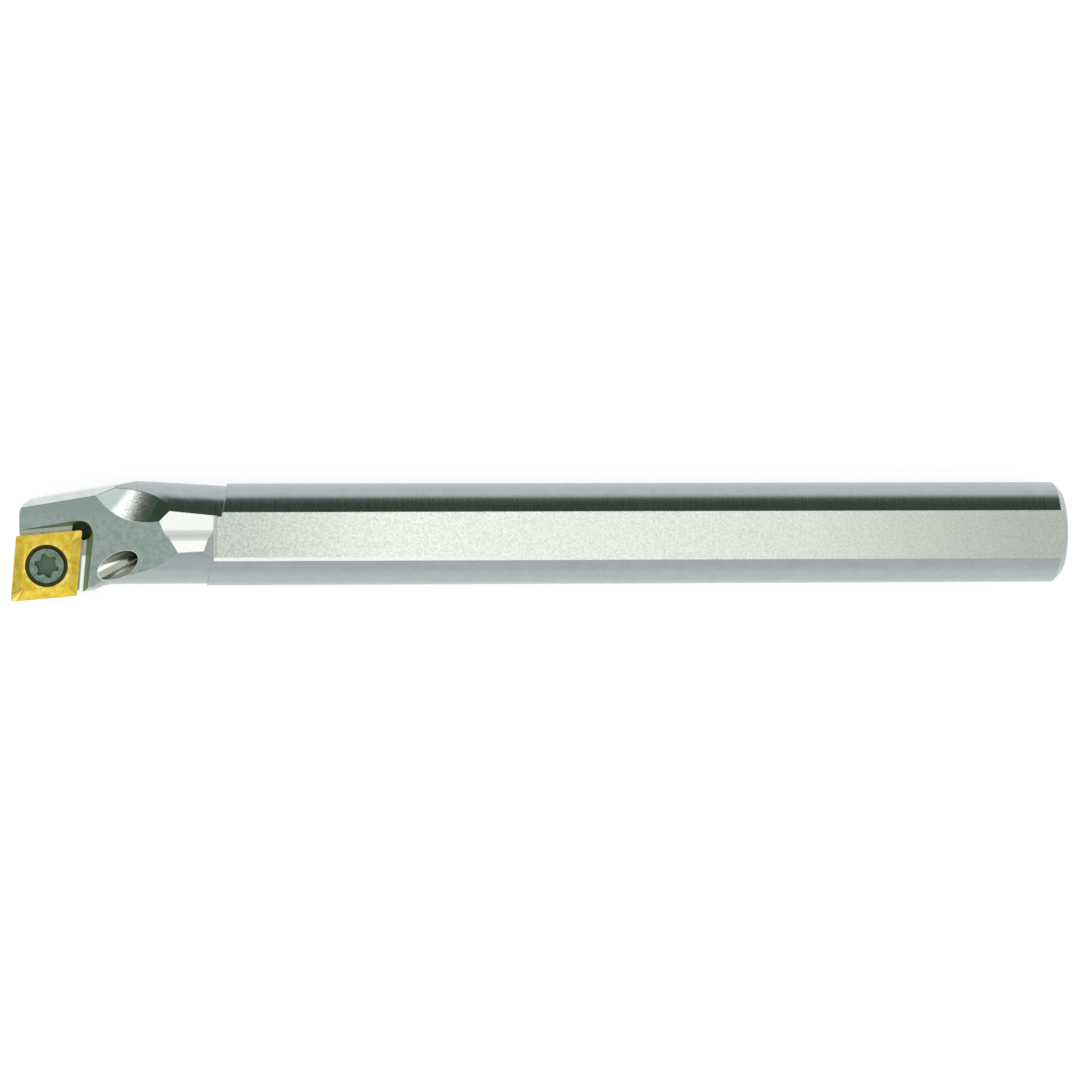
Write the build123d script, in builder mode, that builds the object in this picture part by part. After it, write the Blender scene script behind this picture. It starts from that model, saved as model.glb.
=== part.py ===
"""Right-hand internal boring bar with a screw-clamped 80 degree insert.

The bar lies along X. Its origin is the centre of the rear end face, the head points
to -X, and the insert's rake face looks up, towards +Z, at the height of the bar's
axis. Lengths are in millimetres and angles in degrees. The head is laid out from the
cutting tip: on its planes the local x is the distance behind the tip.
"""

import math
import os

from build123d import *

# Shank
length = 208.2
shank_diameter = 20.0
flat_depth = 1.2
flat_start = 39.5
flat_runin = 14.0
rear_chamfer = 1.5

# Coolant way: a tapped inlet, a straight bore and a slanting outlet
inlet_diameter = 9.73
inlet_depth = 12.0
inlet_chamfer = 0.6
bore_diameter = 6.0
bore_end = 30.0
drill_half_angle = 59.0
outlet_diameter = 4.8
outlet_rise = 15.7
outlet_direction = 27.0
outlet_mouth_x = 24.6
outlet_mouth_y = -3.85

# Neck: an oblique cone that grows towards the head, all of it at the back
neck_length = 40.2
neck_diameter = 19.28
neck_growth = 0.03
shoulder_slant = 11.6

# Flute along the top of the neck: an upper facet, a valley and a lower facet
flute_length = 20.1
flute_upper_rim = 5.4
flute_upper_height = 8.7
flute_valley = 0.9
flute_valley_height = 8.85
flute_step = -0.3
flute_step_height = 9.08
flute_lower_rim = -4.0
flute_lower_height = 9.4

# Head
front_setback = 1.76
back_height = 6.53
back_relief = 10.0
back_corner_radius = 3.1
back_bevel = 1.2
bevel_angle = 62.0
cheek_inset = 0.75
cheek_end = 16.2
cheek_runout = 5.3
cheek_blend = 0.12
cheek_radius = 9.5
ramp_slope = 17.0
ramp_direction = 16.0

# Scoop behind the head: a broad round cut that goes down towards the back
scoop_radius = 28.0
scoop_x = 15.8
scoop_y = 6.6
scoop_floor = 5.93
scoop_direction = 62.0
scoop_slope = 11.0

# Insert
tip_offset = 13.0
inscribed_circle = 12.7
insert_thickness = 4.76
corner_angle = 80.0
approach_angle = 5.0
clearance_angle = 7.0
nose_radius = 0.4
land_width = 0.15
groove_depth = 0.32
groove_angle = 11.0
moat_diameter = 8.3
insert_bore_diameter = 5.5

# Pocket: walls that bear on the insert's flanks, a gap over them, a ledge and a slope
wall_clearance = 0.05
wall_bearing = 3.16
wall_gap = 0.3
ledge_height = 0.4
ledge_width = 0.75
ledge_corner_radius = 2.0
wall_slope = 17.0
relief_diameter = 3.9
relief_depth = 1.2

# Clamping screw
screw_diameter = 5.0
screw_clearance = 0.05
head_diameter = 7.1
head_sink = 0.35
head_lip = 1.3
head_edge = 0.2
cone_half_angle = 30.0
seat_clearance = 0.02
end_recess = 0.4
socket_lobes = 6
socket_diameter = 4.8
socket_waist = 3.4
socket_flank_radius = 0.95
socket_blend = 0.2
socket_depth = 2.2
socket_turn = 15.0

# Worked out from the sizes above
shank_radius = shank_diameter / 2
flat_height = shank_radius - flat_depth
seat_height = -insert_thickness
beyond = 2 * shank_diameter
overlap = 1.0
plan_plane = Plane((-length, 0, 0))


def tangent(angle):
    """Tangent of an angle in degrees."""
    return math.tan(math.radians(angle))


def heading(angle):
    """Unit direction in the plan, as x and y, at an angle from +X."""
    return math.cos(math.radians(angle)), math.sin(math.radians(angle))


def cross_plane(distance):
    """Plane across the bar, where local x is Y and local y is Z."""
    return Plane((distance - length, 0, 0), x_dir=(0, 1, 0), z_dir=(1, 0, 0))


def neck_radius(distance):
    """Radius of the neck and head at a distance behind the tip."""
    return neck_diameter / 2 + neck_growth * (neck_length - distance)


def neck_centre(distance):
    """Y of the neck's centre, which keeps its front generatrix parallel to the axis."""
    return neck_growth * (neck_length - distance)


# The ramp is the top face of the head, which climbs away from the tip
ramp_x, ramp_y = heading(ramp_direction)
ramp_tilt = math.radians(ramp_slope)
ramp_normal = Vector(-math.sin(ramp_tilt) * ramp_x, -math.sin(ramp_tilt) * ramp_y, math.cos(ramp_tilt))
ramp_plane = Plane((-length, 0, 0), z_dir=ramp_normal)


def ramp_height(distance, y):
    """Height of the ramp over a place on the head."""
    return (distance * ramp_x + y * ramp_y) * math.tan(ramp_tilt)


# The insert's plane: its centre on the rake face, turned by the approach angle
insert_side = inscribed_circle / math.sin(math.radians(corner_angle))
half_corner = math.radians(corner_angle / 2)
reach = insert_side * math.cos(half_corner) - nose_radius / math.sin(half_corner)
reach_x, reach_y = heading(approach_angle + corner_angle / 2)
insert_x = nose_radius + reach * reach_x
insert_y = nose_radius - tip_offset + reach * reach_y
insert_plane = Plane((insert_x - length, insert_y, 0), x_dir=(*heading(approach_angle), 0))
corner_x, corner_y = heading(corner_angle)


def corner(growth, along, up):
    """A corner of the insert's outline, its sides moved outwards by growth.

    along and up are -1 or 1: the insert's tip is (-1, -1) and the pocket's corner (1, 1).
    """
    half = (insert_side + 2 * growth / corner_y) / 2
    return half * (along + up * corner_x), half * up * corner_y


def rhombus(growth):
    """The four corners of the insert's outline."""
    return [corner(growth, -1, -1), corner(growth, 1, -1), corner(growth, 1, 1), corner(growth, -1, 1)]


def pocket_outline(growth):
    """The pocket's two walls, at a growth from the insert's sides, and its open sides."""
    inner_x, inner_y = corner(growth, 1, 1)
    return [
        (inner_x, inner_y),
        (inner_x - beyond, inner_y),
        (inner_x - beyond * (1 + corner_x), inner_y - beyond * corner_y),
        (inner_x - beyond * corner_x, inner_y - beyond * corner_y),
    ]


# The screw's seat, as heights below the rake face
cone_top = -head_sink - head_lip
cone_end = cone_top - (head_diameter - screw_diameter) / 2 / tangent(cone_half_angle)


def seat_radius(height):
    """Radius of the insert's conical seat, which follows the screw's head."""
    return head_diameter / 2 + seat_clearance - (cone_top - height) * tangent(cone_half_angle)


def seat_height_at(radius):
    """Height at which the insert's conical seat has a radius."""
    return cone_top - (head_diameter / 2 + seat_clearance - radius) / tangent(cone_half_angle)


def make_chip_groove():
    """Form of the moulded chip groove, which falls from the lands to a floor."""
    run = groove_depth / tangent(groove_angle)
    with BuildPart() as groove:
        with BuildSketch(insert_plane):
            Polygon(*rhombus(-land_width), align=None)
        with BuildSketch(insert_plane.offset(-groove_depth)):
            Polygon(*rhombus(-land_width - run), align=None)
        loft()
    return groove.part


def make_insert():
    """Rhombic carbide insert with a chip groove on its face and a hole for the screw."""
    groove = make_chip_groove()
    moat_radius = moat_diameter / 2
    ledge = cone_top - seat_clearance
    bore_radius = insert_bore_diameter / 2
    with BuildPart() as insert:
        with BuildSketch(insert_plane):
            Polygon(*rhombus(0), align=None)
            fillet(vertices(), nose_radius)
        extrude(amount=-insert_thickness, taper=clearance_angle)
        add(groove, mode=Mode.SUBTRACT)
        with BuildSketch(Plane(insert_plane.origin, x_dir=(1, 0, 0), z_dir=(0, -1, 0))):
            with BuildLine():
                Polyline(
                    (0, overlap),
                    (moat_radius, overlap),
                    (moat_radius, ledge),
                    (seat_radius(ledge), ledge),
                    (bore_radius, seat_height_at(bore_radius)),
                    (bore_radius, seat_height - overlap),
                    (0, seat_height - overlap),
                    close=True,
                )
            make_face()
        revolve(axis=Axis(insert_plane.origin, (0, 0, 1)), mode=Mode.SUBTRACT)
    return insert


def make_screw():
    """Countersunk clamping screw with a six-lobed socket; its thread is a plain cylinder."""
    head_radius = head_diameter / 2
    screw_radius = screw_diameter / 2
    screw_end = end_recess - flat_height
    axis = Axis(insert_plane.origin, (0, 0, 1))
    with BuildPart() as screw:
        with BuildSketch(Plane(insert_plane.origin, x_dir=(1, 0, 0), z_dir=(0, -1, 0))):
            with BuildLine():
                Polyline(
                    (0, -head_sink),
                    (head_radius - head_edge, -head_sink),
                    (head_radius, -head_sink - head_edge),
                    (head_radius, cone_top),
                    (screw_radius, cone_end),
                    (screw_radius, screw_end + head_edge),
                    (screw_radius - head_edge, screw_end),
                    (0, screw_end),
                    close=True,
                )
            make_face()
        revolve(axis=axis)
        top = Plane((insert_plane.origin.X, insert_plane.origin.Y, -head_sink))
        with BuildSketch(top):
            Circle(socket_diameter / 2)
            with PolarLocations(socket_waist / 2 + socket_flank_radius, socket_lobes, start_angle=socket_turn):
                Circle(socket_flank_radius, mode=Mode.SUBTRACT)
            fillet(vertices(), socket_blend)
        extrude(amount=-socket_depth, mode=Mode.SUBTRACT)
    return screw


def make_shank():
    """Round shank from the slanting shoulder to the chamfered rear end."""
    with BuildPart() as shank:
        with BuildSketch(cross_plane(0)):
            Circle(shank_radius)
        extrude(amount=length)
        chamfer(shank.faces().sort_by(Axis.X)[-1].edges(), rear_chamfer)
        slant_x, slant_y = heading(shoulder_slant)
        shoulder = Plane((neck_length - length, 0, 0), z_dir=(slant_x, -slant_y, 0))
        split(bisect_by=shoulder, keep=Keep.TOP)
    return shank.part


def make_cheek():
    """Bulge on the tip's side of the head, which carries the insert out to its offset."""
    side = -tip_offset + cheek_inset + front_setback * tangent(approach_angle)
    end_y = side + (cheek_end - front_setback) * tangent(approach_angle)
    axis_y = side + cheek_radius
    runout_x = cheek_end + cheek_runout
    runout_y = neck_centre(runout_x) - neck_radius(runout_x) + cheek_blend
    with BuildPart() as cheek:
        with BuildSketch(plan_plane):
            with BuildLine():
                sides = Polyline(
                    (runout_x, runout_y),
                    (runout_x, axis_y),
                    (front_setback, axis_y),
                    (front_setback, side),
                    (cheek_end, end_y),
                )
                TangentArc(sides @ 0, sides @ 1, tangent=(-1, 0))
            make_face()
        revolve(axis=Axis((-length, axis_y, 0), (1, 0, 0)))
    return cheek.part


def make_pocket():
    """Space of the pocket, open to the front: walls, gap, ledge and slope, from the seat up."""
    gap_side = wall_clearance + wall_gap
    with BuildPart() as pocket:
        with BuildSketch(insert_plane):
            Polygon(*pocket_outline(wall_clearance), align=None)
        extrude(amount=seat_height, taper=clearance_angle)
        with BuildSketch(insert_plane.offset(seat_height + wall_bearing)):
            Polygon(*pocket_outline(gap_side), align=None)
        extrude(amount=shank_diameter)
        with BuildSketch(insert_plane.offset(ledge_height)):
            Polygon(*pocket_outline(gap_side + ledge_width), align=None)
            fillet(vertices().sort_by(Axis.X)[-1], ledge_corner_radius)
        extrude(amount=shank_radius, taper=-wall_slope)
    return pocket.part


def make_flat():
    """Space over the top flat, which starts on the neck with a gentle slope."""
    overhang = (beyond - flat_height) / tangent(flat_runin)
    with BuildPart() as flat:
        with BuildSketch(Plane((flat_start - length, 0, 0), x_dir=(1, 0, 0), z_dir=(0, -1, 0))):
            Polygon(
                (0, flat_height),
                (length, flat_height),
                (length, beyond),
                (-overhang, beyond),
                align=None,
            )
        extrude(amount=shank_diameter, both=True)
    return flat.part


def make_flute():
    """Shallow flute along the top of the neck, from the ramp to the flat."""
    with BuildPart() as flute:
        with BuildSketch(cross_plane(neck_length)):
            Polygon(
                (flute_upper_rim, flute_upper_height),
                (flute_valley, flute_valley_height),
                (flute_step, flute_step_height),
                (flute_lower_rim, flute_lower_height),
                (flute_lower_rim, beyond),
                (flute_upper_rim, beyond),
                align=None,
            )
        extrude(amount=-flute_length)
    return flute.part


def make_scoop():
    """Path of a broad round cutter across the back of the head."""
    ahead_x, ahead_y = heading(scoop_direction)
    level, drop = heading(scoop_slope)
    centre = Vector(scoop_x - length, scoop_y, scoop_floor + scoop_radius / level)
    path = Plane(centre, z_dir=(ahead_x * level, ahead_y * level, -drop))
    with BuildPart() as scoop:
        with BuildSketch(path):
            Circle(scoop_radius)
        extrude(amount=shank_diameter, both=True)
    return scoop.part


def make_coolant_way():
    """Tapped inlet and straight bore, turned about the bar's axis, and the outlet."""
    bore_radius = bore_diameter / 2
    inlet_radius = inlet_diameter / 2
    point = bore_end - length
    step = (inlet_radius - bore_radius) / tangent(drill_half_angle)
    mouth_z = ramp_height(outlet_mouth_x, outlet_mouth_y) - outlet_diameter / 2
    level, rise = heading(outlet_rise)
    mouth = Vector(outlet_mouth_x - length, outlet_mouth_y, mouth_z)
    ahead_x, ahead_y = heading(outlet_direction)
    outlet = Plane(mouth, z_dir=(-ahead_x * level, -ahead_y * level, rise))
    inward = -outlet_mouth_y / ahead_y / level
    with BuildPart() as way:
        with BuildSketch(Plane.XZ):
            with BuildLine():
                Polyline(
                    (point, 0),
                    (point + bore_radius / tangent(drill_half_angle), bore_radius),
                    (-inlet_depth - step, bore_radius),
                    (-inlet_depth, inlet_radius),
                    (-inlet_chamfer, inlet_radius),
                    (0, inlet_radius + inlet_chamfer),
                    (overlap, inlet_radius + inlet_chamfer),
                    (overlap, 0),
                    close=True,
                )
            make_face()
        revolve(axis=Axis.X)
        with BuildSketch(outlet.offset(-inward)):
            Circle(outlet_diameter / 2)
        extrude(amount=inward + shank_radius)
    return way.part


def make_bar():
    """Steel bar: shank, neck and head in one piece, with the pocket and the coolant way."""
    shank = make_shank()
    cheek = make_cheek()
    pocket = make_pocket()
    flat = make_flat()
    flute = make_flute()
    scoop = make_scoop()
    coolant_way = make_coolant_way()
    neck_root = neck_length + shank_radius * tangent(shoulder_slant) + overlap
    back_x, back_y = heading(back_relief)
    back_normal = Vector(-back_y, back_x, 0)
    back_corner = (beyond, back_height + (beyond - front_setback) * tangent(back_relief))
    bevel_x, bevel_y = back_corner[0] + back_bevel * back_y, back_corner[1] - back_bevel * back_x
    bevel_point = Vector(bevel_x - length, bevel_y, ramp_height(bevel_x, bevel_y))
    bevel_up, bevel_back = heading(bevel_angle)
    bevel_plane = Plane(bevel_point, z_dir=ramp_normal * bevel_up + back_normal * bevel_back)
    with BuildPart() as bar:
        for distance in (front_setback, neck_root):
            with BuildSketch(cross_plane(distance)):
                with Locations((neck_centre(distance), 0)):
                    Circle(neck_radius(distance))
        loft()
        add(cheek)
        with BuildSketch(plan_plane):
            with BuildLine():
                Polyline(
                    (front_setback, -beyond),
                    (length, -beyond),
                    (length, beyond),
                    back_corner,
                    (front_setback, back_height),
                    close=True,
                )
            make_face()
            fillet(vertices().sort_by(Axis.X)[:2].sort_by(Axis.Y)[-1], back_corner_radius)
        extrude(amount=beyond, both=True, mode=Mode.INTERSECT)
        add(shank)
        split(bisect_by=ramp_plane, keep=Keep.BOTTOM)
        split(bisect_by=bevel_plane, keep=Keep.BOTTOM)
        add(flat, mode=Mode.SUBTRACT)
        with BuildSketch(cross_plane(0)):
            with Locations((0, -flat_height)):
                Rectangle(2 * shank_diameter, shank_radius, align=(Align.CENTER, Align.MAX))
        extrude(amount=length, mode=Mode.SUBTRACT)
        add(pocket, mode=Mode.SUBTRACT)
        add(flute, mode=Mode.SUBTRACT)
        add(scoop, mode=Mode.SUBTRACT)
        add(coolant_way, mode=Mode.SUBTRACT)
        with BuildSketch(insert_plane.offset(seat_height - relief_depth)):
            with Locations(corner(0, 1, 1)):
                Circle(relief_diameter / 2)
        extrude(amount=beyond, mode=Mode.SUBTRACT)
        with BuildSketch(insert_plane.offset(seat_height)):
            Circle(screw_diameter / 2 + screw_clearance)
        extrude(amount=-beyond, mode=Mode.SUBTRACT)
    return bar


os.makedirs("parts", exist_ok=True)

bar = make_bar()
bar.part.label = "bar"
export_step(bar.part, "parts/bar.step")

insert = make_insert()
insert.part.label = "insert"
export_step(insert.part, "parts/insert.step")

clamping_screw = make_screw()
clamping_screw.part.label = "clamping_screw"
export_step(clamping_screw.part, "parts/clamping_screw.step")
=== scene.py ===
"""Boring bar with a screw-clamped insert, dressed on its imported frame.

Lengths are in metres. The bar lies along X with its head towards -X, and the insert's
rake face looks up at the height of the bar's axis.
"""

import logging
import math
from dataclasses import dataclass
from enum import Enum

import bmesh
import bpy
from mathutils import Matrix, Vector


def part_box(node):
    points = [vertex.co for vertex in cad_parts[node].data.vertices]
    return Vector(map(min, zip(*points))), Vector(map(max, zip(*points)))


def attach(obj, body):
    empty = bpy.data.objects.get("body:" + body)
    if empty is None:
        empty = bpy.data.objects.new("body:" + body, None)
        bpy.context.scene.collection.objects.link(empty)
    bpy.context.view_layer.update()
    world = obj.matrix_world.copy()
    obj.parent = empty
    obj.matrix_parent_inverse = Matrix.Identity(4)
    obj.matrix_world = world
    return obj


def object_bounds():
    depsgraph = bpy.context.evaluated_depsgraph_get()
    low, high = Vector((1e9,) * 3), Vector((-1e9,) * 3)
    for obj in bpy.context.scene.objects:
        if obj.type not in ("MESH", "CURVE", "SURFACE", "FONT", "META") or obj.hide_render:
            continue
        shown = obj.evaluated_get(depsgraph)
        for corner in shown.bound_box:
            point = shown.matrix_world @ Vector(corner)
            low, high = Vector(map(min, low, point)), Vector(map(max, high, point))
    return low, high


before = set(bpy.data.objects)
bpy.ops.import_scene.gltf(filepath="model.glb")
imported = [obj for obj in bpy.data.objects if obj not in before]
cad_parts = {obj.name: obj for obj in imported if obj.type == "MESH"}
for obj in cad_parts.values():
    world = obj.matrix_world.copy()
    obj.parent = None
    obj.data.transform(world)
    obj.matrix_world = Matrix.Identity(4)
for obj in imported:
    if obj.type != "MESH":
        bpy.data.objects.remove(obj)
CAD_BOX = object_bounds()
LOG = logging.getLogger("boring_bar")
Pair = tuple[float, float]
Triple = tuple[float, float, float]
Socket = bpy.types.NodeSocket
# X of the cutting tip
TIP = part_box("insert")[0][0]
# Spans of noise over which tone and roughness change
SPECKLE = (0.35, 0.7)
SPREAD = (0.3, 0.7)


class Rays(Enum):
    """Rays that see the floor as it shows to the camera."""

    CAMERA = "Is Camera Ray"
    GLOSSY = "Is Glossy Ray"
    TRANSMISSION = "Is Transmission Ray"


class Region(Enum):
    """Areas of the bar that wear a finish of their own, or carry painted shade."""

    HEAD = "head"
    FLAT = "flat"
    TOP_FLAT = "top flat"
    SLOPE = "slope"
    # Painted shade on the scoop's far end and on the cheek
    DULL = "dull end of the scoop, and the cheek"
    # Pocket walls, painted dark green as shade
    WALL = "pocket wall"
    LEDGE = "pocket ledge"
    FLUTE = "flute"
    OUTLET = "coolant outlet"
    # Insides of the holes, painted dark as shade
    CAVITY = "inside of the holes"


@dataclass(frozen=True)
class Spot:
    """Place of a point on a piece, and the way its surface faces.

    Its x is measured from the cutting tip, and so is the vector from_tip.
    """

    place: Socket
    from_tip: Socket
    x: Socket
    y: Socket
    z: Socket
    facing_x: Socket
    facing_y: Socket
    facing_z: Socket


class Graph:
    """Node tree under construction."""

    def __init__(self, tree: bpy.types.NodeTree) -> None:
        """Empty the tree.

        Args:
            tree: Node tree of a material or of the world.
        """
        self.tree = tree
        tree.nodes.clear()

    def add(self, kind: str, inputs: dict | None = None, **settings: object) -> bpy.types.Node:
        """Add a node.

        Args:
            kind: Type name of the node.
            inputs: Values or sockets for the node's inputs, by name or index.
            **settings: Properties of the node.

        Returns:
            The new node.
        """
        node = self.tree.nodes.new(kind)
        for name, value in settings.items():
            setattr(node, name, value)
        for name, value in (inputs or {}).items():
            if isinstance(value, Socket):
                self.tree.links.new(value, node.inputs[name])
            else:
                node.inputs[name].default_value = value
        return node

    def spot(self) -> Spot:
        """Read the place and the facing of the shaded point.

        Returns:
            Object coordinates and the normal, split by axis.
        """
        source = self.add("ShaderNodeTexCoord")
        place = source.outputs["Object"]
        from_tip = self.vector("SUBTRACT", place, (TIP, 0.0, 0.0)).outputs[0]
        axes = self.add("ShaderNodeSeparateXYZ", {0: from_tip})
        facing = self.add("ShaderNodeSeparateXYZ", {0: source.outputs["Normal"]})
        return Spot(place, from_tip, *axes.outputs[:3], *facing.outputs[:3])

    def math(self, operation: str, *values: object) -> Socket:
        """Add a Math node.

        Args:
            operation: Name of the operation.
            *values: Numbers or sockets, in the node's order.

        Returns:
            The result's socket.
        """
        return self.add("ShaderNodeMath", dict(enumerate(values)), operation=operation).outputs[0]

    def vector(self, operation: str, *values: object) -> bpy.types.Node:
        """Add a Vector Math node.

        Args:
            operation: Name of the operation.
            *values: Vectors or sockets, in the node's order.

        Returns:
            The new node.
        """
        return self.add("ShaderNodeVectorMath", dict(enumerate(values)), operation=operation)

    def fold(self, operation: str, *values: object) -> Socket:
        """Join any number of values by an operation on two.

        Args:
            operation: Name of the operation.
            *values: Numbers or sockets.

        Returns:
            The joined value.
        """
        joined = values[0]
        for value in values[1:]:
            joined = self.math(operation, joined, value)
        return joined

    def both(self, *masks: object) -> Socket:
        """Keep what lies in every mask, and scale it by any number among them.

        Args:
            *masks: Masks or numbers.

        Returns:
            Their product.
        """
        return self.fold("MULTIPLY", *masks)

    def either(self, *masks: object) -> Socket:
        """Keep what lies in any mask.

        Args:
            *masks: Masks or numbers.

        Returns:
            The greatest of them.
        """
        return self.fold("MAXIMUM", *masks)

    def inverse(self, mask: Socket) -> Socket:
        """Turn a mask round.

        Args:
            mask: Mask from 0 to 1.

        Returns:
            1 minus the mask.
        """
        return self.math("SUBTRACT", 1.0, mask)

    def above(self, value: Socket, limit: float) -> Socket:
        """Mark where a value is above a limit.

        Args:
            value: Value to compare.
            limit: Limit that it has to pass.

        Returns:
            1 above the limit and 0 elsewhere.
        """
        return self.math("GREATER_THAN", value, limit)

    def below(self, value: Socket, limit: float) -> Socket:
        """Mark where a value is below a limit.

        Args:
            value: Value to compare.
            limit: Limit that it has to stay under.

        Returns:
            1 below the limit and 0 elsewhere.
        """
        return self.math("LESS_THAN", value, limit)

    def distance(self, value: Socket, centre: float) -> Socket:
        """Measure how far a value is from a centre.

        Args:
            value: Value to measure.
            centre: Centre of the measure.

        Returns:
            The absolute difference.
        """
        return self.math("ABSOLUTE", self.math("SUBTRACT", value, centre))

    def ramp(self, value: Socket, low: float, high: float, start: float = 0.0, end: float = 1.0) -> Socket:
        """Map a value smoothly from one range to another.

        Args:
            value: Value to map.
            low: Value that gives start.
            high: Value that gives end.
            start: Result at low.
            end: Result at high.

        Returns:
            The result's socket.
        """
        inputs = {"Value": value, 1: low, 2: high, 3: start, 4: end}
        return self.add("ShaderNodeMapRange", inputs, interpolation_type="SMOOTHSTEP").outputs[0]

    def noise(self, place: Socket, scale: float | Triple, detail: float = 3.0) -> Socket:
        """Add noise, with a scale of its own along each axis where it gets three.

        Args:
            place: Coordinates in metres.
            scale: Features per metre, everywhere or along X, Y and Z.
            detail: Octaves of finer noise.

        Returns:
            The noise's value, from 0 to 1.
        """
        scales = scale if isinstance(scale, tuple) else (scale,) * 3
        scaled = self.add("ShaderNodeMapping", {"Vector": place, "Scale": scales})
        inputs = {"Vector": scaled.outputs[0], "Scale": 1.0, "Detail": detail, "Roughness": 0.6}
        return self.add("ShaderNodeTexNoise", inputs).outputs[0]

    def mix(self, share: object, first: object, second: object) -> Socket:
        """Mix two numbers.

        Args:
            share: Share of the second number.
            first: Number or socket.
            second: Number or socket.

        Returns:
            The mixed number.
        """
        return self.add("ShaderNodeMix", {"Factor": share, 2: first, 3: second}).outputs[0]

    def blend(self, share: object, first: object, second: object) -> Socket:
        """Mix two colours.

        Args:
            share: Share of the second colour.
            first: Colour or socket.
            second: Colour or socket.

        Returns:
            The mixed colour.
        """
        colours = [value if isinstance(value, Socket) else (*value, 1.0) for value in (first, second)]
        inputs = {"Factor": share, 6: colours[0], 7: colours[1]}
        return self.add("ShaderNodeMix", inputs, data_type="RGBA").outputs[2]

    def around(self, spot: Spot, centre: Pair) -> tuple[Socket, Socket, Socket]:
        """Measure a place around an upright axis.

        Args:
            spot: Place on the piece.
            centre: Place of the axis behind the tip, and its Y.

        Returns:
            The offsets along X and Y, and the radius.
        """
        across = self.math("SUBTRACT", spot.x, centre[0])
        along = self.math("SUBTRACT", spot.y, centre[1])
        squares = (self.math("MULTIPLY", offset, offset) for offset in (across, along))
        return across, along, self.math("SQRT", self.math("ADD", *squares))

    def hole(self, spot: Spot, through: Triple, axis: Triple, radius: float) -> Socket:
        """Mark what lies within a radius of an axis.

        Args:
            spot: Place on the piece.
            through: Point on the axis, with its X behind the tip.
            axis: Unit direction of the axis.
            radius: Radius of the mark.

        Returns:
            1 within the radius and 0 outside.
        """
        away = self.vector("SUBTRACT", spot.from_tip, through).outputs[0]
        lever = self.vector("CROSS_PRODUCT", away, axis).outputs[0]
        return self.below(self.vector("LENGTH", lever).outputs["Value"], radius)

    def metal(self, colour: Socket, rough: Socket, relief: Socket, grain: Pair, edge_radius: float) -> None:
        """Finish the tree as a metal with fine relief and broken edges.

        Args:
            colour: Colour of the metal.
            rough: Roughness of the metal.
            relief: Height of the relief.
            grain: Strength and depth of the relief.
            edge_radius: Radius of the broken edges.
        """
        edge = self.add("ShaderNodeBevel", {"Radius": edge_radius}, samples=6)
        inputs = {"Height": relief, "Strength": grain[0], "Distance": grain[1], "Normal": edge.outputs[0]}
        bump = self.add("ShaderNodeBump", inputs)
        inputs = {"Base Color": colour, "Metallic": 1.0, "Roughness": rough, "Normal": bump.outputs[0]}
        surface = self.add("ShaderNodeBsdfPrincipled", inputs)
        self.add("ShaderNodeOutputMaterial", {0: surface.outputs[0]})


def new_material(name: str) -> tuple[bpy.types.Material, Graph]:
    """Make a material with an empty node tree.

    Args:
        name: Name of the material.

    Returns:
        The material and its node tree.
    """
    material = bpy.data.materials.new(name)
    material.use_nodes = True
    return material, Graph(material.node_tree)


@dataclass(frozen=True)
class Grain:
    """Noise that breaks up the tone and the relief of the steel."""

    fine: Socket
    lines: Socket
    cuts: Socket
    patch: Socket
    speck: Socket
    blotch: Socket


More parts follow.
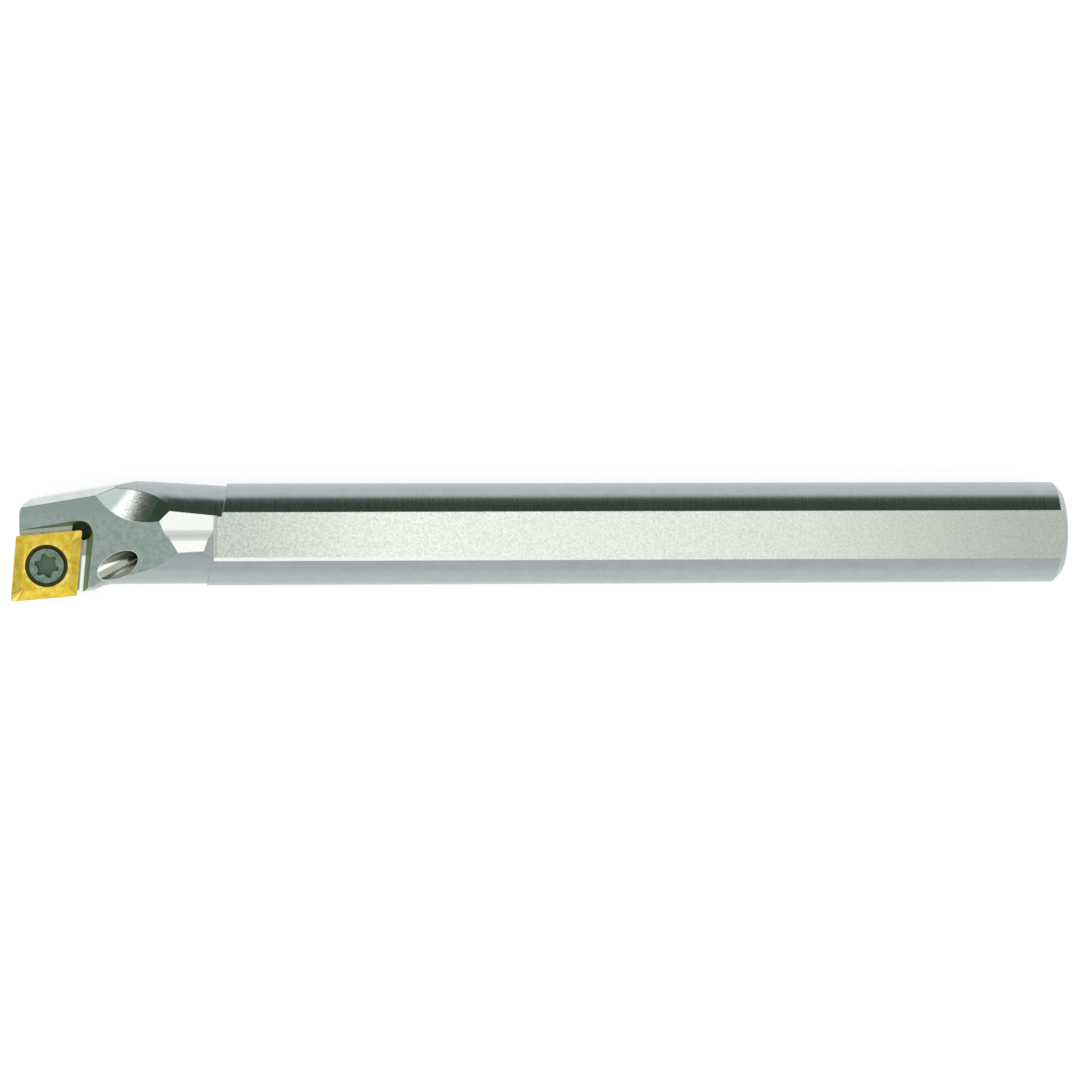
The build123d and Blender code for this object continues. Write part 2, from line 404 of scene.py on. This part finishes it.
@dataclass(frozen=True)
class BarSteel:
    """Nickel-bright steel: ground round shank and neck, milled flats and milled head.

    Places along X are distances behind the cutting tip, a facing is a part of the
    surface's normal, and a scale counts features per metre.
    """

    ground: Triple = (0.395, 0.435, 0.445)
    ground_dark: Triple = (0.36, 0.41, 0.415)
    milled: Triple = (0.76, 0.78, 0.71)
    milled_dark: Triple = (0.63, 0.66, 0.59)
    # Painted shade: darker tones of the milled flats towards both ends
    milled_shade: Triple = (0.52, 0.56, 0.51)
    milled_shade_dark: Triple = (0.39, 0.43, 0.385)
    flute: Triple = (0.74, 0.76, 0.72)
    # Painted shade: grey of the dip along the flute, also used for the darker line where the top flat starts
    flute_dip: Triple = (0.33, 0.36, 0.345)
    head: Triple = (0.66, 0.68, 0.66)
    head_dark: Triple = (0.46, 0.50, 0.48)
    # Painted shade for the scoop's far end and the cheek
    head_shade: Triple = (0.275, 0.322, 0.302)
    slope: Triple = (0.50, 0.60, 0.57)
    slope_dark: Triple = (0.36, 0.47, 0.42)
    # Painted shade: dark green tone of the pocket walls beside the insert
    wall: Triple = (0.21, 0.37, 0.23)
    ledge: Triple = (0.29, 0.31, 0.24)
    olive: Triple = (0.68, 0.70, 0.62)
    # Painted shade inside the notch's hole and deep in the coolant outlet
    hole_shade: Triple = (0.035, 0.045, 0.025)
    head_end: float = 0.0394
    pocket_end: float = 0.0197
    pocket_front: float = 0.0082
    pocket_side: float = -0.005
    ledge_foot: float = 0.0002
    cheek_edge: float = -0.0074
    cheek_fade: float = 0.0014
    cheek_shade_share: float = 0.8
    # Painted shade: the slope darkens towards the back (+Y)
    back_shade_fade: Pair = (0.0, 0.006)
    back_shade_share: float = 0.75
    scoop_edge: float = 0.0034
    scoop_end: float = 0.0305
    scoop_line: Pair = (0.02047, 0.00531)
    scoop_heading: Pair = (-0.781, 0.624)
    scoop_fade: Pair = (-0.0006, 0.0010)
    flute_front: float = 0.0277
    dip_y: float = 0.0003
    dip_fade: Pair = (0.0014, 0.0002)
    # A darker line across the top flat where it starts
    start_line: float = 0.03994
    start_fade: Pair = (0.00035, 0.0001)
    start_share: float = 0.8
    # Painted highlight: a bright band along the top flat's -Y edge, towards the head
    rim_edge: Pair = (-0.0038, -0.0043)
    rim_ends: Pair = (0.1232, 0.0782)
    # Spans along X where the flats are painted darker as shade, and its strength at the rear
    shade_near_head: Pair = (0.0782, 0.0382)
    shade_near_rear: Pair = (0.1482, 0.2122)
    shade_rear_share: float = 0.85
    notch: Triple = (0.01393, 0.00093, 0.0)
    notch_radius: float = 0.00199
    notch_floor: float = -0.007
    outlet: Triple = (0.0246, -0.00385, 0.0045)
    outlet_axis: Triple = (-0.8578, -0.4371, 0.2706)
    outlet_radius: float = 0.0025
    outlet_end: float = 0.0362
    outlet_depth: Pair = (-0.0010, 0.0030)
    outlet_side: Pair = (0.28, 0.42)
    hole_shade_share: float = 0.6
    level_facing: Pair = (0.985, 0.999)
    tilted_facing: Pair = (0.06, 0.12)
    slope_facing: Pair = (-0.265, -0.275)
    upward_facing: float = 0.8
    flute_facing: float = 0.975
    steep_facing: float = 0.42
    inward_facing: float = 0.2
    wall_facing: float = -0.3
    fine_scale: float = 2300.0
    mottle_scale: float = 420.0
    line_scale: Triple = (5200.0, 120.0, 120.0)
    cut_scale: Triple = (1500.0, 260.0, 260.0)
    blotch_scale: float = 900.0
    blotch_span: Pair = (0.30, 0.72)
    ground_rough: Pair = (0.23, 0.29)
    milled_rough: Pair = (0.30, 0.42)
    head_rough: Pair = (0.10, 0.18)
    outlet_rough: Pair = (0.02, 0.50)
    wall_rough: float = 0.35
    line_relief: float = 0.25
    cut_relief: float = 0.5
    relief: Pair = (0.45, 0.00002)
    edge_radius: float = 0.0002

    def build(self) -> bpy.types.Material:
        """Build the material.

        Returns:
            The steel of the bar.
        """
        material, graph = new_material("bar_steel")
        spot = graph.spot()
        grain = self.make_grain(graph, spot)
        regions = self.find_head(graph, spot)
        regions |= self.find_pocket(graph, spot)
        regions |= self.find_holes(graph, spot)
        colour = self.tone(graph, spot, grain, regions)
        rough = self.roughen(graph, spot, grain, regions)
        relief = self.raise_grain(graph, grain, regions)
        graph.metal(colour, rough, relief, self.relief, self.edge_radius)
        return material

    def make_grain(self, graph: Graph, spot: Spot) -> Grain:
        """Make the noise of the ground and milled surfaces.

        Args:
            graph: Node tree of the material.
            spot: Place on the bar.

        Returns:
            The noise.
        """
        fine = graph.noise(spot.place, self.fine_scale, detail=4.0)
        mottle = graph.noise(spot.place, self.mottle_scale, detail=4.0)
        lines = graph.noise(spot.place, self.line_scale, detail=2.0)
        cuts = graph.noise(spot.place, self.cut_scale)
        blotch = graph.noise(spot.place, self.blotch_scale, detail=5.0)
        patch, speck = (graph.ramp(noise, *SPECKLE) for noise in (mottle, fine))
        return Grain(fine, lines, cuts, patch, speck, graph.ramp(blotch, *self.blotch_span))

    def find_level(self, graph: Graph, spot: Spot) -> Socket:
        """Find what faces straight up or down.

        Args:
            graph: Node tree of the material.
            spot: Place on the bar.

        Returns:
            A mask of the level faces.
        """
        return graph.ramp(graph.math("ABSOLUTE", spot.facing_z), *self.level_facing)

    def find_head(self, graph: Graph, spot: Spot) -> dict[Region, Socket]:
        """Find the milled head, its slope and the parts painted darker as shade, the flats and the flute.

        Args:
            graph: Node tree of the material.
            spot: Place on the bar.

        Returns:
            A mask for each region.
        """
        tilted = graph.ramp(graph.math("ABSOLUTE", spot.facing_x), *self.tilted_facing)
        facing_up = graph.above(spot.facing_z, self.upward_facing)
        on_neck = graph.below(spot.x, self.head_end)
        at_back = graph.above(spot.y, self.scoop_edge)
        by_scoop = graph.both(at_back, graph.below(spot.x, self.scoop_end), facing_up)
        head = graph.both(on_neck, graph.either(tilted, by_scoop))
        flat = graph.both(self.find_level(graph, spot), graph.inverse(head))
        offsets = graph.around(spot, self.scoop_line)[:2]
        past_line = graph.fold("ADD", *map(graph.both, offsets, self.scoop_heading))
        # Painted shade: the scoop turns dark past a slanting line, and the head's lower side (cheek) darkens
        scoop_end = graph.both(by_scoop, graph.ramp(past_line, *self.scoop_fade))
        on_cheek = graph.ramp(spot.y, self.cheek_edge, self.cheek_edge - self.cheek_fade)
        cheek = graph.both(head, on_cheek, self.cheek_shade_share)
        behind = graph.above(spot.x, self.flute_front)
        topside = graph.above(spot.facing_z, self.flute_facing)
        return {
            Region.HEAD: head,
            Region.FLAT: flat,
            Region.TOP_FLAT: graph.both(flat, graph.above(spot.z, 0.0)),
            Region.SLOPE: graph.both(graph.ramp(spot.facing_x, *self.slope_facing), facing_up),
            Region.DULL: graph.either(scoop_end, cheek),
            Region.FLUTE: graph.both(behind, on_neck, topside, graph.inverse(tilted)),
        }

    def find_pocket(self, graph: Graph, spot: Spot) -> dict[Region, Socket]:
        """Find the slanted walls and the ledge round the insert.

        Args:
            graph: Node tree of the material.
            spot: Place on the bar.

        Returns:
            A mask for each region.
        """
        by_pocket = graph.below(spot.x, self.pocket_end)
        raised = graph.above(spot.z, self.ledge_foot)
        steep = graph.below(spot.facing_z, self.steep_facing)
        inward = graph.below(spot.facing_y, self.inward_facing)
        rear, side = (
            graph.both(graph.below(facing, self.wall_facing), graph.above(value, start))
            for facing, value, start in (
                (spot.facing_x, spot.x, self.pocket_front),
                (spot.facing_y, spot.y, self.pocket_side),
            )
        )
        return {
            Region.WALL: graph.both(by_pocket, steep, inward, graph.either(rear, side), raised),
            Region.LEDGE: graph.both(by_pocket, self.find_level(graph, spot), raised),
        }

    def find_holes(self, graph: Graph, spot: Spot) -> dict[Region, Socket]:
        """Find the coolant outlet and the insides of the holes, painted dark as shade.

        Args:
            graph: Node tree of the material.
            spot: Place on the bar.

        Returns:
            A mask for each region.
        """
        # Painted shade: the notch's hole is dark inside, and the outlet darkens deeper in
        notch = graph.hole(spot, self.notch, (0.0, 0.0, 1.0), self.notch_radius)
        notch = graph.both(notch, graph.above(spot.z, self.notch_floor))
        outlet = graph.hole(spot, self.outlet, self.outlet_axis, self.outlet_radius)
        outlet = graph.both(outlet, graph.below(spot.x, self.outlet_end))
        deep_shade = graph.ramp(spot.x, *(self.outlet[0] + depth for depth in self.outlet_depth))
        hole_shade = graph.either(notch, graph.both(outlet, deep_shade, self.hole_shade_share))
        return {Region.OUTLET: outlet, Region.CAVITY: hole_shade}

    def tone(self, graph: Graph, spot: Spot, grain: Grain, regions: dict[Region, Socket]) -> Socket:
        """Colour the bar, region by region.

        Args:
            graph: Node tree of the material.
            spot: Place on the bar.
            grain: Noise of the surfaces.
            regions: Masks of the regions.

        Returns:
            The colour's socket.
        """
        ground = graph.blend(grain.patch, self.ground, self.ground_dark)
        shank = graph.blend(regions[Region.FLAT], ground, self.tone_flat(graph, spot, grain))
        head = graph.blend(graph.both(grain.patch, grain.speck), self.head, self.head_dark)
        # Painted shade on the scoop's far end and the cheek
        head = graph.blend(regions[Region.DULL], head, self.head_shade)
        # Random blotches, and painted shade that darkens the slope towards the back (+Y)
        blotch = graph.either(grain.blotch, graph.ramp(spot.y, *self.back_shade_fade, 0.0, self.back_shade_share))
        head = graph.blend(regions[Region.SLOPE], head, graph.blend(blotch, self.slope, self.slope_dark))
        colour = graph.blend(regions[Region.HEAD], shank, head)
        # Painted shade along the dip in the middle of the flute
        dip_shade = graph.ramp(graph.distance(spot.y, self.dip_y), *self.dip_fade)
        # A darker line across the top flat where it starts
        start_band = graph.ramp(graph.distance(spot.x, self.start_line), *self.start_fade)
        # Painted highlight along the top flat's -Y edge, towards the head
        rim_highlight = graph.both(graph.ramp(spot.y, *self.rim_edge), graph.ramp(spot.x, *self.rim_ends))
        layers = (
            # Painted shade on the pocket walls
            (regions[Region.WALL], self.wall),
            (regions[Region.LEDGE], self.ledge),
            (regions[Region.FLUTE], graph.blend(dip_shade, self.flute, self.flute_dip)),
            (graph.both(regions[Region.TOP_FLAT], start_band, self.start_share), self.flute_dip),
            (graph.both(regions[Region.TOP_FLAT], rim_highlight), self.flute),
            (regions[Region.OUTLET], self.olive),
            (regions[Region.CAVITY], self.hole_shade),
        )
        for share, tone in layers:
            colour = graph.blend(share, colour, tone)
        return colour

    def tone_flat(self, graph: Graph, spot: Spot, grain: Grain) -> Socket:
        """Colour the flats, painted darker towards both ends as shade.

        Args:
            graph: Node tree of the material.
            spot: Place on the bar.
            grain: Noise of the surfaces.

        Returns:
            The colour's socket.
        """
        bright = graph.blend(grain.speck, self.milled, self.milled_dark)
        # Painted shade: the flats darken towards the head and towards the rear
        shaded = graph.blend(grain.speck, self.milled_shade, self.milled_shade_dark)
        near_head = graph.ramp(spot.x, *self.shade_near_head)
        near_rear = graph.ramp(spot.x, *self.shade_near_rear, 0.0, self.shade_rear_share)
        return graph.blend(graph.either(near_head, near_rear), bright, shaded)

    def roughen(self, graph: Graph, spot: Spot, grain: Grain, regions: dict[Region, Socket]) -> Socket:
        """Make the roughness of the steel.

        Args:
            graph: Node tree of the material.
            spot: Place on the bar.
            grain: Noise of the surfaces.
            regions: Masks of the regions.

        Returns:
            The roughness's socket.
        """
        ground = graph.ramp(grain.lines, *SPREAD, *self.ground_rough)
        milled = graph.ramp(grain.fine, *SPREAD, *self.milled_rough)
        lower_side = graph.ramp(spot.facing_y, *self.outlet_side, *self.outlet_rough)
        head = graph.fold(
            "ADD",
            graph.ramp(grain.fine, *SPREAD, *self.head_rough),
            graph.both(regions[Region.OUTLET], lower_side),
            graph.both(regions[Region.WALL], self.wall_rough),
        )
        return graph.mix(regions[Region.HEAD], graph.mix(regions[Region.FLAT], ground, milled), head)

    def raise_grain(self, graph: Graph, grain: Grain, regions: dict[Region, Socket]) -> Socket:
        """Make the relief of grinding lines and milling cuts.

        Args:
            graph: Node tree of the material.
            grain: Noise of the surfaces.
            regions: Masks of the regions.

        Returns:
            The relief's socket.
        """
        ground = graph.both(grain.lines, self.line_relief)
        milled = graph.math("ADD", grain.fine, graph.both(grain.cuts, self.cut_relief))
        return graph.mix(regions[Region.HEAD], graph.mix(regions[Region.FLAT], ground, milled), milled)


@dataclass(frozen=True)
class GoldCoating:
    """Titanium nitride coating on the sintered insert, with painted shadow inside the hole, and painted
    highlights and shade lines on its face.
    """

    centre: Pair
    gold: Triple = (0.63, 0.48, 0.066)
    amber: Triple = (0.50, 0.335, 0.028)
    # Painted highlight colour, for the ring round the hole and the corner wedges
    lemon_highlight: Triple = (0.80, 0.67, 0.17)
    # Painted shade colour of the lines along the corner wedges
    shade_brown: Triple = (0.30, 0.19, 0.02)
    shadow: Triple = (0.05, 0.045, 0.02)
    hole_radius: float = 0.00415
    hole_fade: float = 0.00003
    highlight_ring_fade: Pair = (0.0052, 0.0044)
    wedge_start: float = 0.0062
    wedge_slope: float = 0.36
    wedge_rise: float = 0.0005
    wedge_foot: float = -0.0001
    rim_fade: Pair = (0.00026, 0.00004)
    wedge_highlight_share: float = 0.6
    rim_shade_share: float = 0.45
    face_depth: float = 0.0007
    mottle_scale: float = 650.0
    grain_scale: float = 5200.0
    fleck_scale: float = 1500.0
    fleck_span: Pair = (0.45, 0.65)
    fleck_shares: Pair = (0.1, 0.8)
    rough: Pair = (0.27, 0.38)
    relief: Pair = (0.3, 0.00001)
    edge_radius: float = 0.00008

    def build(self) -> bpy.types.Material:
        """Build the material.

        Returns:
            The coating of the insert.
        """
        material, graph = new_material("gold_coating")
        spot = graph.spot()
        across, along, radius = graph.around(spot, self.centre)
        inside = graph.ramp(radius, self.hole_radius + self.hole_fade, self.hole_radius - self.hole_fade)
        mottle = graph.noise(spot.place, self.mottle_scale, detail=4.0)
        grain = graph.noise(spot.place, self.grain_scale)
        flecks = graph.noise(spot.place, self.fleck_scale)
        flecks = graph.ramp(flecks, *self.fleck_span, *self.fleck_shares)
        gold = graph.blend(graph.ramp(mottle, *SPECKLE), self.gold, self.amber)
        # Painted highlight: lemon flecks in a ring round the hole
        gold = graph.blend(graph.both(flecks, graph.ramp(radius, *self.highlight_ring_fade)), gold, self.lemon_highlight)
        gold = self.tone_corners(graph, spot, (across, along), gold)
        colour = graph.blend(inside, gold, self.shadow)
        rough = graph.ramp(grain, *SPREAD, *self.rough)
        graph.metal(colour, rough, grain, self.relief, self.edge_radius)
        return material

    def tone_corners(self, graph: Graph, spot: Spot, offsets: tuple[Socket, Socket], gold: Socket) -> Socket:
        """Paint highlights on the raised wedges at the two cutting corners, and painted shade lines along
        their edges.

        Args:
            graph: Node tree of the material.
            spot: Place on the insert.
            offsets: Distances from the insert's centre along X and Y.
            gold: Colour so far.

        Returns:
            The colour's socket.
        """
        forward, aside = (
            graph.math("ABSOLUTE", graph.both(graph.math(operation, *offsets), math.sqrt(0.5)))
            for operation in ("ADD", "SUBTRACT")
        )
        reach = graph.both(graph.math("SUBTRACT", forward, self.wedge_start), self.wedge_slope)
        spread = graph.math("SUBTRACT", reach, aside)
        on_face = graph.above(spot.z, -self.face_depth)
        # Painted highlight on the raised corner wedges
        wedge_highlight = graph.ramp(spread, self.wedge_foot, self.wedge_rise, 0.0, self.wedge_highlight_share)
        gold = graph.blend(graph.both(on_face, wedge_highlight), gold, self.lemon_highlight)
        # Painted shade: brown lines along the wedges' edges
        edge = graph.ramp(graph.math("ABSOLUTE", spread), *self.rim_fade)
        past_start = graph.ramp(forward, self.wedge_start, self.wedge_start + self.wedge_rise)
        return graph.blend(graph.both(on_face, edge, past_start, self.rim_shade_share), gold, self.shade_brown)


@dataclass(frozen=True)
class ScrewSteel:
    """Phosphated steel of the clamping screw, with painted shade in its socket."""

    centre: Pair
    steel: Triple = (0.175, 0.245, 0.185)
    dark: Triple = (0.11, 0.155, 0.115)
    # Painted shade inside the socket
    socket: Triple = (0.085, 0.14, 0.09)
    socket_radius: float = 0.00255
    socket_shade_fade: Pair = (-0.00045, -0.00095)
    grain_scale: float = 3200.0
    mottle_scale: float = 900.0
    rough: Pair = (0.34, 0.48)
    relief: Pair = (0.3, 0.00001)
    edge_radius: float = 0.0001

    def build(self) -> bpy.types.Material:
        """Build the material.

        Returns:
            The steel of the screw.
        """
        material, graph = new_material("screw_steel")
        spot = graph.spot()
        grain = graph.noise(spot.place, self.grain_scale)
        mottle = graph.noise(spot.place, self.mottle_scale)
        colour = graph.blend(graph.ramp(mottle, *SPECKLE), self.steel, self.dark)
        # Painted shade: the socket darkens below the head's face
        inner = graph.below(graph.around(spot, self.centre)[2], self.socket_radius)
        deep_shade = graph.ramp(spot.z, *self.socket_shade_fade)
        colour = graph.blend(graph.both(inner, deep_shade), colour, self.socket)
        rough = graph.ramp(grain, *SPREAD, *self.rough)
        graph.metal(colour, rough, grain, self.relief, self.edge_radius)
        return material


def dress(node: str, material: bpy.types.Material) -> None:
    """Give every slot of a solid one material.

    Args:
        node: Name of the solid.
        material: Material for its slots.
    """
    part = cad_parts[node]
    if not part.material_slots:
        part.data.materials.append(material)
    for place in part.material_slots:
        place.material = material
    LOG.info("%s wears %s", node, material.name)


def middle_of(node: str) -> Pair:
    """Find the centre of an upright solid.

    Args:
        node: Name of the solid.

    Returns:
        Distance of its centre behind the tip, and its Y.
    """
    low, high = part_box(node)
    return (low[0] + high[0]) / 2 - TIP, (low[1] + high[1]) / 2


def place_mesh(name: str, shape: bmesh.types.BMesh, material: bpy.types.Material) -> bpy.types.Object:
    """Turn a shape into an object in the scene.

    Args:
        name: Name of the object.
        shape: Finished shape, which is freed.
        material: Material of the object.

    Returns:
        The new object.
    """
    mesh = bpy.data.meshes.new(name)
    shape.to_mesh(mesh)
    shape.free()
    mesh.materials.append(material)
    thing = bpy.data.objects.new(name, mesh)
    bpy.context.scene.collection.objects.link(thing)
    return thing


@dataclass
class Bar:
    """Steel bar in one piece, with the thread of its coolant inlet."""

    node: str = "bar"
    thread_radius: float = 0.00489
    thread_depth: float = 0.0006
    thread_pitch: float = 0.000907
    thread_start: float = -0.0111
    thread_turns: int = 11
    turn_steps: int = 40

    def build(self) -> None:
        """Dress the bar and cut its thread."""
        steel = BarSteel().build()
        dress(self.node, steel)
        self.make_thread(steel)

    def make_thread(self, steel: bpy.types.Material) -> None:
        """Make the ridge of the inlet's pipe thread.

        Args:
            steel: Material of the bar.
        """
        shape = bmesh.new()
        # A regular triangle is 1.5 times as high as the radius of its circle
        reach = self.thread_depth / 1.5
        start = (self.thread_start, self.thread_radius - reach / 2, 0.0)
        bmesh.ops.create_circle(shape, cap_ends=True, segments=3, radius=reach)
        bmesh.ops.rotate(shape, matrix=Matrix.Rotation(math.pi, 3, "Z"), verts=shape.verts)
        bmesh.ops.translate(shape, vec=start, verts=shape.verts)
        bmesh.ops.spin(
            shape,
            geom=[*shape.verts, *shape.edges, *shape.faces],
            cent=(0.0, 0.0, 0.0),
            axis=(1.0, 0.0, 0.0),
            dvec=(self.thread_pitch / self.turn_steps, 0.0, 0.0),
            angle=2 * math.pi * self.thread_turns,
            steps=self.turn_steps * self.thread_turns,
        )
        bmesh.ops.holes_fill(shape, edges=[edge for edge in shape.edges if edge.is_boundary])
        bmesh.ops.recalc_face_normals(shape, faces=shape.faces)
        open_edges = sum(not edge.is_manifold for edge in shape.edges)
        thread = place_mesh("inlet_thread", shape, steel)
        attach(thread, "root")
        LOG.info("inlet_thread has %d open edges", open_edges)


@dataclass
class Insert:
    """Rhombic insert in the pocket."""

    node: str = "insert"
    screw_node: str = "clamping_screw"

    def build(self) -> None:
        """Dress the insert."""
        dress(self.node, GoldCoating(middle_of(self.screw_node)).build())


@dataclass
class ClampingScrew:
    """Screw that holds the insert down."""

    node: str = "clamping_screw"

    def build(self) -> None:
        """Dress the screw."""
        dress(self.node, ScrewSteel(middle_of(self.node)).build())


@dataclass(frozen=True)
class Lamp:
    """Soft rectangular lamp, whose level is the brightness of its face."""

    name: str
    place: Triple
    target: Triple
    size: Pair
    level: float

    def build(self) -> None:
        """Place the lamp."""
        light = bpy.data.lights.new(self.name, "AREA")
        light.shape = "RECTANGLE"
        light.size, light.size_y = self.size
        light.energy = self.level * math.pi * self.size[0] * self.size[1]
        place = Vector(self.place)
        turn = (Vector(self.target) - place).to_track_quat("-Z", "Y")
        lamp = bpy.data.objects.new(self.name, light)
        lamp.matrix_world = Matrix.Translation(place) @ turn.to_matrix().to_4x4()
        bpy.context.scene.collection.objects.link(lamp)


@dataclass
class Floor:
    """Pale round floor that the bar lies on."""

    height: float = CAD_BOX[0][2]
    radius: float = 3.0
    paint: float = 0.45
    glow: float = 0.68

    def build(self) -> None:
        """Lay the floor."""
        shape = bmesh.new()
        bmesh.ops.create_circle(shape, cap_ends=True, segments=96, radius=self.radius)
        bmesh.ops.translate(shape, vec=(0.0, 0.0, self.height), verts=shape.verts)
        place_mesh("floor", shape, self.make_paint())

    def make_paint(self) -> bpy.types.Material:
        """Make the floor's paint, which glows a little to the rays that see it.

        Returns:
            The paint.
        """
        material, graph = new_material("pale_floor")
        path = graph.add("ShaderNodeLightPath")
        seen = graph.either(*(path.outputs[rays.value] for rays in Rays))
        paint = graph.add("ShaderNodeBsdfDiffuse", {"Color": (self.paint,) * 3 + (1.0,)})
        inputs = {"Color": (1.0, 1.0, 1.0, 1.0), "Strength": graph.both(seen, self.glow)}
        light = graph.add("ShaderNodeEmission", inputs)
        both = graph.add("ShaderNodeAddShader", {0: paint.outputs[0], 1: light.outputs[0]})
        graph.add("ShaderNodeOutputMaterial", {0: both.outputs[0]})
        return material


@dataclass
class DarkCard:
    """Dark card with soft edges beside the back of the bar, seen in its reflections alone."""

    distance: float = 0.16
    bottom: float = -0.012
    top: float = 0.245
    ends: Pair = (-0.60, 0.30)
    fade: float = 0.012
    end_fade: float = 0.08
    colour: Triple = (0.05, 0.09, 0.055)

    def build(self) -> None:
        """Stand the card up."""
        shape = bmesh.new()
        bmesh.ops.create_grid(shape, x_segments=1, y_segments=1, size=0.5)
        size = (self.ends[1] - self.ends[0], self.top - self.bottom, 1.0)
        centre = (sum(self.ends) / 2, self.distance, (self.bottom + self.top) / 2)
        bmesh.ops.scale(shape, vec=size, verts=shape.verts)
        bmesh.ops.rotate(shape, matrix=Matrix.Rotation(math.radians(90), 3, "X"), verts=shape.verts)
        bmesh.ops.translate(shape, vec=centre, verts=shape.verts)
        card = place_mesh("dark_card", shape, self.make_paint())
        card.visible_camera = False
        card.visible_diffuse = False
        card.visible_shadow = False

    def make_paint(self) -> bpy.types.Material:
        """Make the card's dark paint, which clears towards its edges.

        Returns:
            The paint.
        """
        material, graph = new_material("dark_card")
        spot = graph.spot()
        left, right = (end - TIP for end in self.ends)
        solid = graph.both(
            graph.ramp(spot.z, self.bottom, self.bottom + self.fade),
            graph.ramp(spot.z, self.top, self.top - self.fade / 2),
            graph.ramp(spot.x, left, left + self.end_fade),
            graph.ramp(spot.x, right, right - self.end_fade),
        )
        clear = graph.add("ShaderNodeBsdfTransparent")
        dark = graph.add("ShaderNodeEmission", {"Color": (*self.colour, 1.0), "Strength": 1.0})
        mixed = graph.add("ShaderNodeMixShader", {0: solid, 1: clear.outputs[0], 2: dark.outputs[0]})
        graph.add("ShaderNodeOutputMaterial", {0: mixed.outputs[0]})
        return material


@dataclass
class Studio:
    """Floor, lamps, dark card and the pale world around them."""

    world_colour: Triple = (0.985, 1.0, 1.0)
    world_level: float = 0.95
    zenith_level: float = 0.60
    zenith_fade: Pair = (0.5, 0.85)
    lamps: tuple[Lamp, ...] = (
        Lamp("top_lamp", (-0.32, -0.25, 1.1), (-0.32, -0.25, 0.0), (0.88, 0.90), 0.63),
        Lamp("back_lamp", (-0.36, 0.44, 1.1), (-0.36, 0.44, 0.0), (0.90, 0.44), 1.35),
        Lamp("middle_lamp", (0.02, -0.02, 1.09), (0.02, -0.02, 0.0), (0.26, 0.40), 0.34),
        Lamp("strip_lamp", (-0.15, -0.48, 1.08), (-0.15, -0.48, 0.0), (1.1, 0.12), 0.6),
        Lamp("side_lamp", (0.75, -0.65, 0.95), (-0.10, 0.0, 0.0), (0.7, 0.7), 0.8),
    )

    def build(self) -> None:
        """Build the studio."""
        self.make_world()
        for piece in (Floor(), *self.lamps, DarkCard()):
            piece.build()

    def make_world(self) -> None:
        """Make a pale world that dims towards the zenith."""
        world = bpy.data.worlds.new("studio_world")
        bpy.context.scene.world = world
        world.use_nodes = True
        graph = Graph(world.node_tree)
        source = graph.add("ShaderNodeTexCoord")
        direction = graph.add("ShaderNodeSeparateXYZ", {0: source.outputs["Generated"]})
        levels = (self.world_level, self.zenith_level)
        level = graph.ramp(direction.outputs["Z"], *self.zenith_fade, *levels)
        light = graph.add("ShaderNodeBackground", {"Color": (*self.world_colour, 1.0), "Strength": level})
        graph.add("ShaderNodeOutputWorld", {0: light.outputs[0]})


@dataclass
class ViewCamera:
    """Camera above the bar, a little towards the head."""

    lens: float = 120.0
    sensor_width: float = 36.0
    distance: float = 0.7124
    yaw: float = 5.49
    tilt: float = 3.16
    spin: float = 0.196
    offset: Pair = (-0.00033, 0.00130)
    middle: float = -0.1047

    def build(self) -> None:
        """Place the camera."""
        data = bpy.data.cameras.new("camera")
        data.lens = self.lens
        data.sensor_width = self.sensor_width
        turn = Matrix.Identity(3)
        for angle, axis in ((self.spin, "Z"), (self.yaw, "Y"), (self.tilt, "X")):
            turn @= Matrix.Rotation(math.radians(angle), 3, axis)
        back = turn.transposed()
        place = Vector((self.middle, 0.0, 0.0)) - back @ Vector((*self.offset, -self.distance))
        camera = bpy.data.objects.new("camera", data)
        camera.matrix_world = Matrix.Translation(place) @ back.to_4x4()
        bpy.context.scene.collection.objects.link(camera)
        bpy.context.scene.camera = camera


def main() -> None:
    """Build and dress the boring bar, then the studio around it."""
    logging.basicConfig(level=logging.INFO)
    bpy.context.scene.view_settings.view_transform = "Standard"
    for part in (Bar(), Insert(), ClampingScrew(), Studio(), ViewCamera()):
        part.build()
        LOG.info("%s done", type(part).__name__)


if __name__ == "__main__":
    main()
